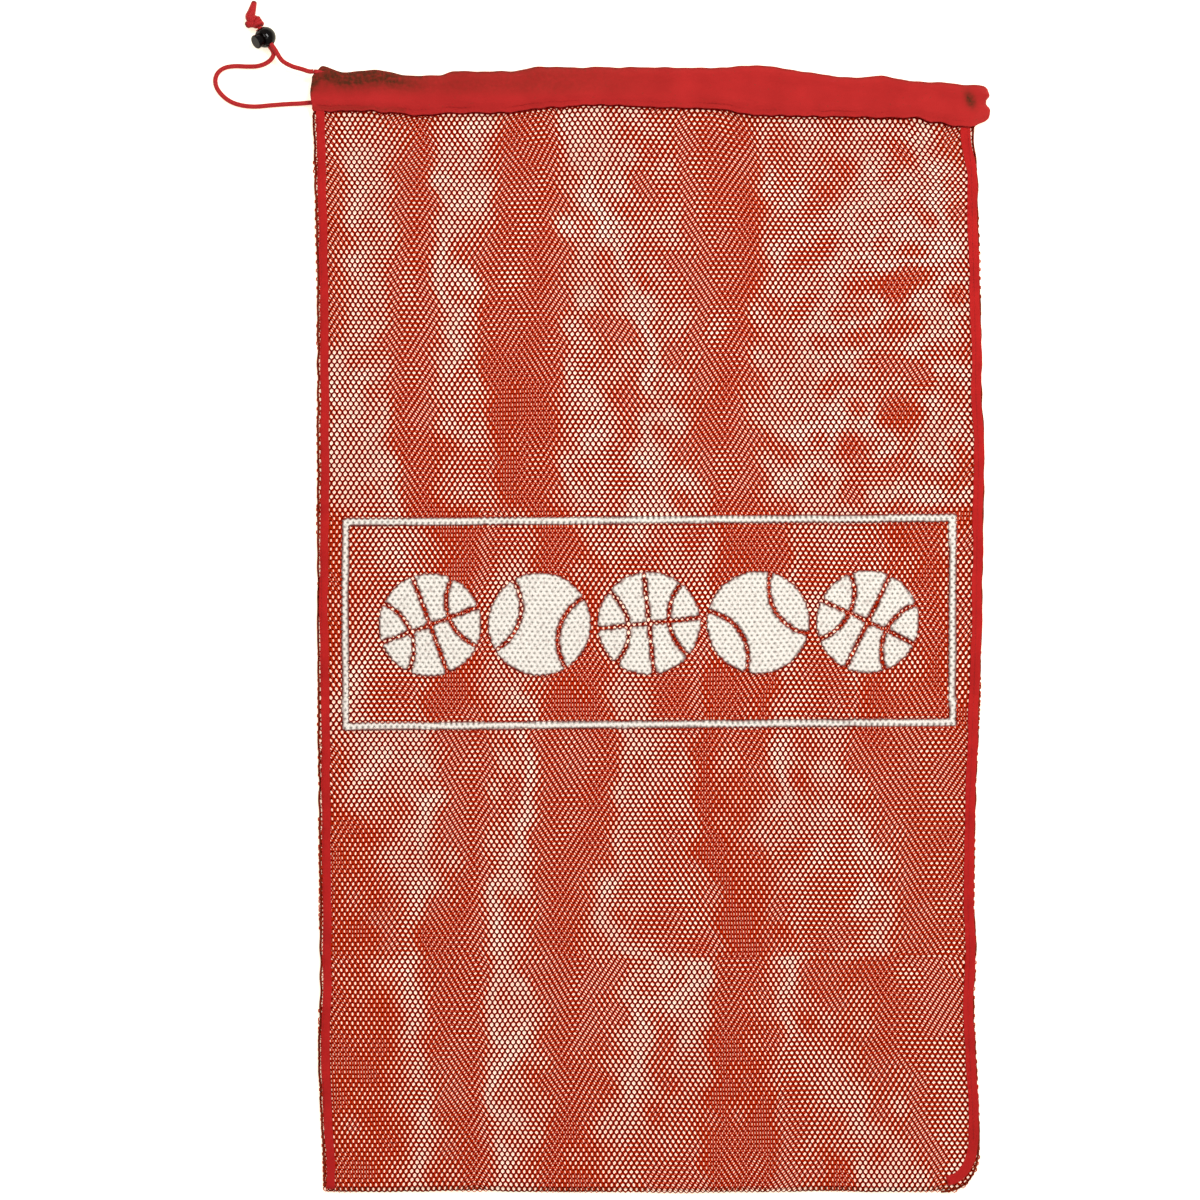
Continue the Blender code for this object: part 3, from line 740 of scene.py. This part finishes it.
def cloth_place(u, v, layer):
    """Where a point of the lattice lies. u and v are metres across and up the flat cloth."""
    x0 = u - SIDE_X
    y0 = v + BAG_LOW_Y + 0.0035
    across, along = slip(x0, y0)
    side = layer - 0.5
    x1 = x0 + side * across * CELL_PITCH + 0.0010 * waves(x0, y0, 61, 0.22)
    y1 = y0 + side * along * ROW_PITCH + 0.0010 * waves(x0, y0, 62, 0.22)
    fit = step_up(y1, 0.36, HEM_LOW_Y)
    y = y1 + fit * (eased(x1, HEM_LOW) - HEM_LOW_Y)
    left, right = eased(y, LEFT_EDGE), eased(y, RIGHT_EDGE)
    x = left + (x1 + SIDE_X) / (2 * SIDE_X) * (right - left)
    z = cloth_level(x, y, layer)
    x = x + (CAMERA.x - x) * z / CAMERA.z
    y = y + (CAMERA.y - y) * z / CAMERA.z
    return x, y, z


def inside_outline(x, y, margin):
    """Whether a point lies on the bag, whose lower right corner is round."""
    left, right = eased(y, LEFT_EDGE) + margin, eased(y, RIGHT_EDGE) - margin
    corner_x = np.clip((x - (0.298 - 0.044)) / 0.044, 0.0, None)
    corner_y = np.clip((-0.455 - y) / 0.0535, 0.0, None)
    round_corner = corner_x ** 3 + corner_y ** 3 < 1.0
    return (x > left) & (x < right) & round_corner


def net_points(u, v, place):
    """The net's points, one set of cells at a time: the yarn's ridges above, the same below,
    and the six corners of each hole. Ink closes a printed hole."""
    ridge = []
    for tip in (POINT_TO_EDGE, -POINT_TO_EDGE):
        ridge.append(np.stack([part.ravel() for part in place(u, v + tip)], axis=1))
    ridge = np.concatenate(ridge)
    lift = np.array([0.0, 0.0, YARN_THICKNESS / 2])
    holes = []
    for tip_x, tip_y in (
        (0.0, HOLE_TIP), (HOLE_SIDE_X, HOLE_SIDE_Y), (HOLE_SIDE_X, -HOLE_SIDE_Y),
        (0.0, -HOLE_TIP), (-HOLE_SIDE_X, -HOLE_SIDE_Y), (-HOLE_SIDE_X, HOLE_SIDE_Y),
    ):
        x, y, _ = place(u + tip_x, v + tip_y)
        open_share = 1.0 - INK_FILL * print_cover(x, y)
        x, y, z = place(u + tip_x * open_share, v + tip_y * open_share)
        holes.append(np.stack([x.ravel(), y.ravel(), z.ravel()], axis=1))
    return np.concatenate([ridge + lift, ridge - lift] + holes)


def net_faces(own, odd, wide, cells):
    """For the cells kept: six faces above and six below, each from a ridge to the hole's edge."""
    up_right, up_left = own + wide + odd, own + wide + odd - 1
    low_right, low_left = own - wide + odd, own - wide + odd - 1
    corners = [own, up_right + cells, low_right, own + cells, low_left, up_left + cells]
    faces = []
    for number in range(6):
        after = (number + 1) % 6
        a, b = corners[number], corners[after]
        hole_a, hole_b = own + (4 + number) * cells, own + (4 + after) * cells
        faces.append(np.stack([b, a, hole_a, hole_b], axis=1))
        faces.append(np.stack([a + 2 * cells, b + 2 * cells, hole_b, hole_a], axis=1))
    return np.concatenate(faces)


def net_band(name, first, last, place, margin=0.0016):
    """Rows first to last of the honeycomb. place gives where a point of the flat cloth lies."""
    extra = 4
    columns = math.ceil(2 * SIDE_X / CELL_PITCH) + 2 * extra
    wide, tall = columns + 2, last - first + 2
    i = np.arange(-1, columns + 1)[None, :] - extra + np.zeros((tall, 1))
    j = np.arange(first - 1, last + 1)[:, None] + np.zeros((1, wide))
    odd = (j % 2).astype(int)
    u, v = (i + odd / 2) * CELL_PITCH, j * ROW_PITCH
    points = net_points(u, v, place)
    row = np.arange(tall)[:, None] + np.zeros((1, wide), int)
    column = np.arange(wide)[None, :] + np.zeros((tall, 1), int)
    centre_x, centre_y, _ = place(u, v)
    real = (row > 0) & (row < tall - 1) & (column > 0) & (column < wide - 1)
    real &= inside_outline(centre_x, centre_y, margin)
    own = row[real] * wide + column[real]
    item, used = mesh_object(name, points, net_faces(own, odd[real], wide, wide * tall))
    kept = points[used]
    float_layer(item, "ink", print_cover(kept[:, 0], kept[:, 1]))
    return item


def mesh_cloth(front_material, back_material):
    rows = round((HEM_LOW_Y - BAG_LOW_Y + 0.002) / ROW_PITCH)
    for layer, node, material in (
        (0, "mesh_back_panel", back_material), (1, "mesh_front_panel", front_material),
    ):
        for band in range(BANDS):
            first, last = rows * band // BANDS, rows * (band + 1) // BANDS
            name = f"{node}_net_{band + 1}"
            item = net_band(name, first, last, lambda u, v: cloth_place(u, v, layer))
            finish_piece(item, material, "mesh_cloth", node)


def fold_place(u, v):
    """The cloth going round the bottom, from the back layer up to the front one."""
    x, y, z = cloth_place(u, 0.0 * v, 0)
    _, _, high = cloth_place(u, 0.0 * v, 1)
    radius = (high - z) / 2
    angle = np.clip(v / (2 * ROW_PITCH), -0.1, 1.1) * math.pi
    return x, y - 0.003 * np.sin(angle) + 0.0005, z + radius * (1 - np.cos(angle))


def bottom_fold(material):
    item = net_band("mesh_bottom_fold_net", 0, 3, fold_place, 0.002)
    finish_piece(item, material, "mesh_cloth", "mesh_bottom_fold")


def selvedges(material):
    """The rolled edge of the mesh along both sides, where the two layers meet."""
    for name, edge, side, start in (
        ("left_selvedge", LEFT_EDGE, 1, -0.504), ("right_selvedge", RIGHT_EDGE, -1, -0.455),
    ):
        y = np.linspace(HEM_LOW_Y - 0.005, start, 400)
        x = eased(y, edge) + side * (0.0012 + 0.0004 * waves(y, 0 * y, 95, 0.02))
        if side < 0:
            turn = np.linspace(0.03, math.radians(84), 60)
            x = np.append(x, 0.254 + 0.0440 * np.cos(turn) ** (2 / 3))
            y = np.append(y, -0.455 - 0.0530 * np.sin(turn) ** (2 / 3))
        z = 0.0024 + 0.0003 * waves(y, 0 * y, 96, 0.03)
        z = z + (FRONT_CASING_Z / 2 - z) * step_up(y, 0.42, HEM_LOW_Y)
        points = [Vector(point) for point in zip(x, y, z)]
        item, _ = braided_tube(name, points, 0.0021, around=10, step=0.0011)
        float_layer(item, "ink", np.zeros(len(item.data.vertices)))
        finish_piece(item, material, "mesh_cloth")


# Print: a plain frame with a row of plain balls in it


PRINT_LEFT, PRINT_RIGHT = -0.279, 0.277
PRINT_LOW, PRINT_HIGH = -0.087, 0.104
PRINT_LINE = 0.0058
BALL_ROW_Y = 0.0075
BALL_RADIUS = 0.046
BALLS = 5


def print_cover(x, y):
    """How much ink, 0 to 1, there is at each point of the cloth."""
    lean = (x - PRINT_LEFT) / (PRINT_RIGHT - PRINT_LEFT)
    y = y - 0.004 * (lean - 0.5)
    middle_x, middle_y = (PRINT_LEFT + PRINT_RIGHT) / 2, (PRINT_LOW + PRINT_HIGH) / 2
    half_x, half_y = (PRINT_RIGHT - PRINT_LEFT) / 2, (PRINT_HIGH - PRINT_LOW) / 2
    outside = np.maximum(np.abs(x - middle_x) - half_x, np.abs(y - middle_y) - half_y)
    line = np.abs(outside + PRINT_LINE / 2) - PRINT_LINE / 2
    distance = line
    span = (PRINT_RIGHT - PRINT_LEFT - 0.06) / BALLS
    for number in range(BALLS):
        centre = middle_x + (number - (BALLS - 1) / 2) * span
        distance = np.minimum(distance, ball(x - centre, y - BALL_ROW_Y, number))
    return 1.0 - step_up(distance, -0.0003, 0.0003)


def ball(x, y, number):
    """A disc with curved seams left out. Below 0 there is ink."""
    gap = 0.0021
    reach = np.hypot(x, y)
    disc = reach - BALL_RADIUS
    turn = (0.35, -0.25, 0.10, 0.55, -0.45)[number]
    across = x * math.cos(turn) + y * math.sin(turn)
    along = y * math.cos(turn) - x * math.sin(turn)
    bow = 1.35 * BALL_RADIUS
    seams = np.minimum(
        np.abs(np.hypot(across - bow, along) - 0.95 * BALL_RADIUS),
        np.abs(np.hypot(across + bow, along) - 0.95 * BALL_RADIUS),
    )
    if number % 2 == 0:
        seams = np.minimum(seams, np.minimum(np.abs(across), np.abs(along)))
    return np.maximum(disc, gap - seams)


# Hem


def casing(path, low, high, cord_at, thick, around=72):
    """Rings of points of a flat sewn casing. Each step of the path gives the place and the
    outward normal, low and high the casing's edges in y, and cord_at where its cord lies."""
    half = around // 2
    share = (1 - np.cos(np.linspace(0.0, math.pi, half))) / 2
    rows = []
    for (x, z, normal_x, normal_z), low_y, high_y, cord_y in zip(path, low, high, cord_at):
        y = low_y + (high_y - low_y) * share
        swell = np.exp(-(((y - cord_y) / 0.0052) ** 2))
        edge = np.sqrt(np.clip(1 - (2 * share - 1) ** 2, 0.0, 1.0))
        crumple = 0.00022 * waves(x + z + 0 * y, 2 * y, 75, 0.030)
        depth = edge * (0.0010 + (thick / 2 - 0.0010) * swell + crumple)
        upper = np.stack([x + normal_x * depth, y, z + normal_z * depth], axis=1)
        lower = np.stack([x - normal_x * depth, y, z - normal_z * depth], axis=1)
        rows.append(np.concatenate([upper, lower[::-1][1:-1]]))
    return np.concatenate(rows), len(rows), len(rows[0])


def hem_path(turn_start, reach):
    """The casing's middle line, front, turn and back: x, z and outward normal of each step, and
    how far it is on the front, from 0 to 1."""
    low_z, high_z = CASING_HEIGHT / 2, FRONT_CASING_Z + CASING_HEIGHT / 2
    radius, middle = (high_z - low_z) / 2, (high_z + low_z) / 2
    straight = np.linspace(-SIDE_X - 0.0005, turn_start, 420)
    buckle = 0.0005 * waves(straight, 0 * straight, 71, 0.05)
    path = [(x, high_z + bend, 0.0, 1.0) for x, bend in zip(straight, buckle)]
    sides = [1.0] * len(straight)
    for angle in np.linspace(math.pi / 2, -math.pi / 2, 44)[1:-1]:
        bend = buckle[-1] * (1 + math.sin(angle)) / 2
        x, z = turn_start + reach * math.cos(angle), middle + radius * math.sin(angle)
        path.append((x, z + bend, math.cos(angle), math.sin(angle)))
        sides.append((1 + math.sin(angle)) / 2)
    path += [(x, low_z, 0.0, -1.0) for x in reversed(straight)]
    return path, np.array(sides + [0.0] * len(straight))


def shape_hem_ends(points, turn_start, reach):
    """The two lobes at the right-hand end, the lower edge's droop and the bulge on the left."""
    x, y = points[:, 0], points[:, 1]
    lobes = 0.0036 * np.exp(-(((y - 0.4874) / 0.0052) ** 4))
    lobes = lobes + 0.0046 * np.exp(-(((y - 0.4684) / 0.0064) ** 4))
    points[:, 0] += lobes * np.clip((x - turn_start) / reach, 0.0, 1.2) ** 2
    in_front = np.clip((points[:, 2] - 0.0080) / 0.0040, 0.0, 1.0)
    points[:, 2] -= hem_droop(y - hem_edges(x)[0]) * in_front
    left = 0.0024 * np.exp(-(((y - 0.4860) / 0.0110) ** 2))
    points[:, 0] -= left * np.clip((-SIDE_X + 0.012 - x) / 0.012, 0.0, 1.0)


def hem(material):
    """One woven band: the front casing, the turn round the right-hand end, the back casing."""
    turn_start, reach = SIDE_X - 0.0165, 0.0130
    path, sides = hem_path(turn_start, reach)
    places = np.array([point[0] for point in path])
    low, high = hem_edges(places)
    cord_at = cord_line(0.0)(places) * (1 - sides) + cord_line(1.0)(places) * sides
    points, rows, columns = casing(path, low, high, cord_at, 0.0058)
    shape_hem_ends(points, turn_start, reach)
    item, _ = mesh_object("hem_band", points, grid_faces(rows, columns, True))
    # Painted shade and brown soil on the front casing, which the band's material reads.
    float_layer(item, "shade_and_soil", hem_shade_and_soil(points))
    solid = item.modifiers.new("wall", "SOLIDIFY")
    solid.thickness = 0.0007
    solid.offset = -1.0
    finish_piece(item, material, "hem_fabric", "hem_band_front", "hem_right_turn", "hem_band_back")


def hem_droop(above_edge):
    """How far the front casing comes down to the mesh near its lower edge."""
    return 0.0026 * np.exp(-((above_edge / 0.0060) ** 2))


def hem_shade_and_soil(points):
    """How dark and brown the band is: painted shade along its top edge and by its upper left corner,
    painted shade of a crease at a spot near its right end, and darker on its upper part at the left and
    middle and along its lower edge at the far left.
    """
    x, y, z = points[:, 0], points[:, 1], points[:, 2]
    _, high = hem_edges(x)
    corner = np.exp(-(((y - high + 0.006) / 0.0065) ** 2)) * (1 - step_up(x, -0.255, -0.190))
    edge = np.exp(-(((y - high) / 0.0016) ** 2)) * (0.45 + 0.55 * (1 - step_up(x, -0.27, -0.22)))
    spot_x = 0.2885 - 0.3 * (y - 0.480)
    spot = np.exp(-(((x - spot_x) / 0.0040) ** 2) - ((y - 0.4800) / 0.0070) ** 2)
    upper = 0.30 * step_up(y, 0.480, 0.492) * (1 - step_up(x, -0.10, 0.05))
    low_edge = 0.35 * np.exp(-(((y - hem_edges(x)[0] - 0.002) / 0.002) ** 2)) * (x < -0.22)
    shade_and_soil = corner + 0.9 * edge + 1.3 * spot + low_edge + upper
    return np.clip(shade_and_soil, 0.0, 1.0) * (z > 0.010)


def hem_edges(x):
    """The hem's lower and upper edges in y."""
    low, high = eased(x, HEM_LOW), eased(x, HEM_TOP)
    low = low + 0.0005 * waves(x, 0 * x, 81, 0.018)
    high = high + 0.0004 * waves(x, 0 * x, 82, 0.022)
    return low - 0.0015, high


def cord_line(side):
    """Where in y the cord lies in the casing: side 1 in front, 0 behind."""
    def line(x):
        low, high = eased(x, HEM_LOW), eased(x, HEM_TOP)
        near = step_up(x, -SIDE_X, -SIDE_X + 0.02)
        front = FRONT_CORD[0] + (high - 0.0048 - FRONT_CORD[0]) * near
        back = BACK_CORD[0] + (low + 0.0065 - BACK_CORD[0]) * near
        return back + (front - back) * side
    return line


def casing_cord(material):
    """The stretch of cord inside the hem, which follows its waves."""
    front, back = cord_line(1.0), cord_line(0.0)
    turn = SIDE_X - 0.018
    places = np.linspace(-SIDE_X + 0.0003, turn, 60)
    points = [Vector((x, float(front(x)), FRONT_CORD[1])) for x in places]
    radius = (FRONT_CORD[1] - BACK_CORD[1]) / 2
    middle_z = (FRONT_CORD[1] + BACK_CORD[1]) / 2
    for angle in np.linspace(math.pi / 2, -math.pi / 2, 14)[1:-1]:
        share = (1 + math.sin(angle)) / 2
        y = float(back(turn)) + (float(front(turn)) - float(back(turn))) * share
        points.append(Vector((turn + 0.0125 * math.cos(angle), y, middle_z + radius * math.sin(angle))))
    points += [Vector((x, float(back(x)), BACK_CORD[1])) for x in reversed(places)]
    item, _ = braided_tube("braid_in_casing", points, CORD_DIAMETER * 0.95, around=10, step=0.003)
    finish_piece(item, material, "cord", "drawcord_in_casing")


# Seam tapes


def tape_piece(name, node, line, width, material):
    """A folded tape along a line of (x, y), on the front layer: a flat band with round edges."""
    line = np.array(line)
    level = cloth_level(line[:, 0], line[:, 1], 1) + (YARN_THICKNESS + TAPE_THICKNESS) / 2
    along = np.gradient(line, axis=0)
    along = along / np.linalg.norm(along, axis=1)[:, None]
    side = np.stack([along[:, 1], -along[:, 0]], axis=1)
    angles = np.linspace(0, 2 * math.pi, 20, endpoint=False)
    across = np.sign(np.cos(angles)) * np.abs(np.cos(angles)) ** 0.5 * width / 2
    height = np.sign(np.sin(angles)) * np.abs(np.sin(angles)) ** 0.6 * TAPE_THICKNESS / 2
    rows = []
    for number, (point, way) in enumerate(zip(line, side)):
        ripple = 1.0 + 0.05 * math.sin(number * 0.9) * math.sin(number * 0.13)
        x = point[0] + way[0] * across * ripple
        y = point[1] + way[1] * across * ripple
        rows.append(np.stack([x, y, level[number] + height], axis=1))
    item, _ = mesh_object(name, np.concatenate(rows), grid_faces(len(rows), 20, True))
    close_ends(item)
    finish_piece(item, material, "seam_tape", node)
    return item


def seam_tapes(material):
    y = np.linspace(HEM_LOW_Y - 0.004, BAG_LOW_Y + 0.004, 260)
    x = eased(y, LEFT_EDGE) + 0.0070 + 0.0005 * waves(y, 0 * y, 91, 0.06)
    tape_piece("left_tape", "left_seam_tape", list(zip(x, y)), 0.0078, material)
    y = np.linspace(HEM_LOW_Y - 0.018, -0.440, 250)
    inset = 0.0085 - 0.003 * step_up(-y, -0.45, -0.41)
    x = eased(y, RIGHT_EDGE) - inset + 0.0005 * waves(y, 0 * y, 92, 0.06)
    guide = [Vector((float(x[-1]), -0.440, 0.0))]
    guide += [Vector((*step, 0.0)) for step in RIGHT_TAPE_CORNER]
    corner = smooth_route(guide, 0.0035)
    line = list(zip(x, y)) + [(step.x, step.y) for step in corner[1:]]
    tape_piece("right_tape", "right_seam_tape", line, 0.0092, material)


# Stitching


def stitches(name, node, line, material, length=0.0030, pitch=0.0036, thick=0.0006):
    """Separate thread stitches along a line of points, each dipping into the cloth at its ends."""
    route = even_route([Vector(point) for point in line], pitch)
    points, faces = [], []
    for before, after in zip(route, route[1:]):
        way = (after - before).normalized()
        side = way.cross(Vector((0, 0, 1))).normalized()
        base = len(points)
        steps = 6
        for step in range(steps + 1):
            share = step / steps
            centre = before + way * (length * share)
            bow = math.sin(math.pi * share)
            centre = centre + Vector((0, 0, thick * (0.75 * bow - 0.45)))
            for turn in range(6):
                angle = math.pi * turn / 3
                ring = side * math.cos(angle) + Vector((0, 0, 1)) * math.sin(angle)
                points.append(tuple(centre + ring * (thick / 2)))
        for step in range(steps):
            for turn in range(6):
                a = base + step * 6 + turn
                b = base + step * 6 + (turn + 1) % 6
                faces.append((a, b, b + 6, a + 6))
    item, _ = mesh_object(name, points, faces)
    close_ends(item)
    finish_piece(item, material, "thread", node)


def stitching(material):
    x = np.linspace(-SIDE_X + 0.004, SIDE_X - 0.018, 200)
    low, _ = hem_edges(x)
    front_z = FRONT_CASING_Z + CASING_HEIGHT / 2 + 0.0012 - float(hem_droop(0.0040))
    for name, node, z in (
        ("hem_stitches_front", "hem_stitching_front", front_z),
        ("hem_stitches_back", "hem_stitching_back", CASING_HEIGHT / 2 + 0.0012),
    ):
        line = [(px, py + 0.0040, z) for px, py in zip(x, low)]
        stitches(name, node, line, material)
    y = np.linspace(-0.460, HEM_LOW_Y - 0.010, 220)
    for name, node, edge, inset in (
        ("left_side_stitches", "left_seam_stitching", LEFT_EDGE, 0.0045),
        ("right_side_stitches", "right_seam_stitching", RIGHT_EDGE, -0.0060),
    ):
        x = eased(y, edge) + inset
        z = cloth_level(x, y, 1) + YARN_THICKNESS / 2 + TAPE_THICKNESS + 0.0001
        stitches(name, node, list(zip(x, y, z)), material)


# Cord lock: these CAD nodes stay


def lock(plastic, steel):
    """Their materials, and a mesh of its own for the spring."""
    for node, material in (
        ("lock_body", plastic), ("lock_plunger", plastic), ("lock_spring", steel),
    ):
        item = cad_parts[node]
        item.data.materials.clear()
        item.data.materials.append(material)
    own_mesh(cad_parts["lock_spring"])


def build():
    studio()
    cord = cord_material("braided_cord", srgb(214, 46, 48), srgb(150, 26, 28), srgb(74, 30, 26))
    drawcord(cord)
    casing_cord(cord)
    # One yarn in two copies: darker and more see-through on the front layer, brighter and less
    # see-through on the back. This is painted shade on the front and painted light on the back, so that
    # threads look dark where the layers overlap.
    yarn_front_shaded = mesh_cloth_material(
        "mesh_front_yarn_shaded", srgb(136, 34, 17), srgb(96, 22, 8), 0.88, srgb(217, 116, 60)
    )
    yarn_back_lit = mesh_cloth_material(
        "mesh_back_yarn_lit", srgb(226, 76, 32), srgb(200, 57, 20), 0.35, srgb(238, 130, 74)
    )
    mesh_cloth(yarn_front_shaded, yarn_back_lit)
    yarn_edge = mesh_cloth_material(
        "mesh_edge_yarn", srgb(168, 58, 34), srgb(84, 28, 12), 0.15, srgb(234, 134, 88)
    )
    bottom_fold(yarn_edge)
    selvedges(yarn_edge)
    hem(woven_material(
        "hem_weave", srgb(194, 46, 44), srgb(176, 40, 38), 2600.0, 0.00010, soiled_and_shaded=True
    ))
    seam_tapes(woven_material("tape_weave", srgb(200, 40, 38), srgb(178, 34, 33), 2200.0, 0.00012))
    stitching(woven_material("sewing_thread", srgb(196, 46, 44), srgb(150, 30, 30), 5200.0, 0.00004))
    lock(plastic_material("moulded_plastic"), steel_material("spring_steel_wire"))


build()
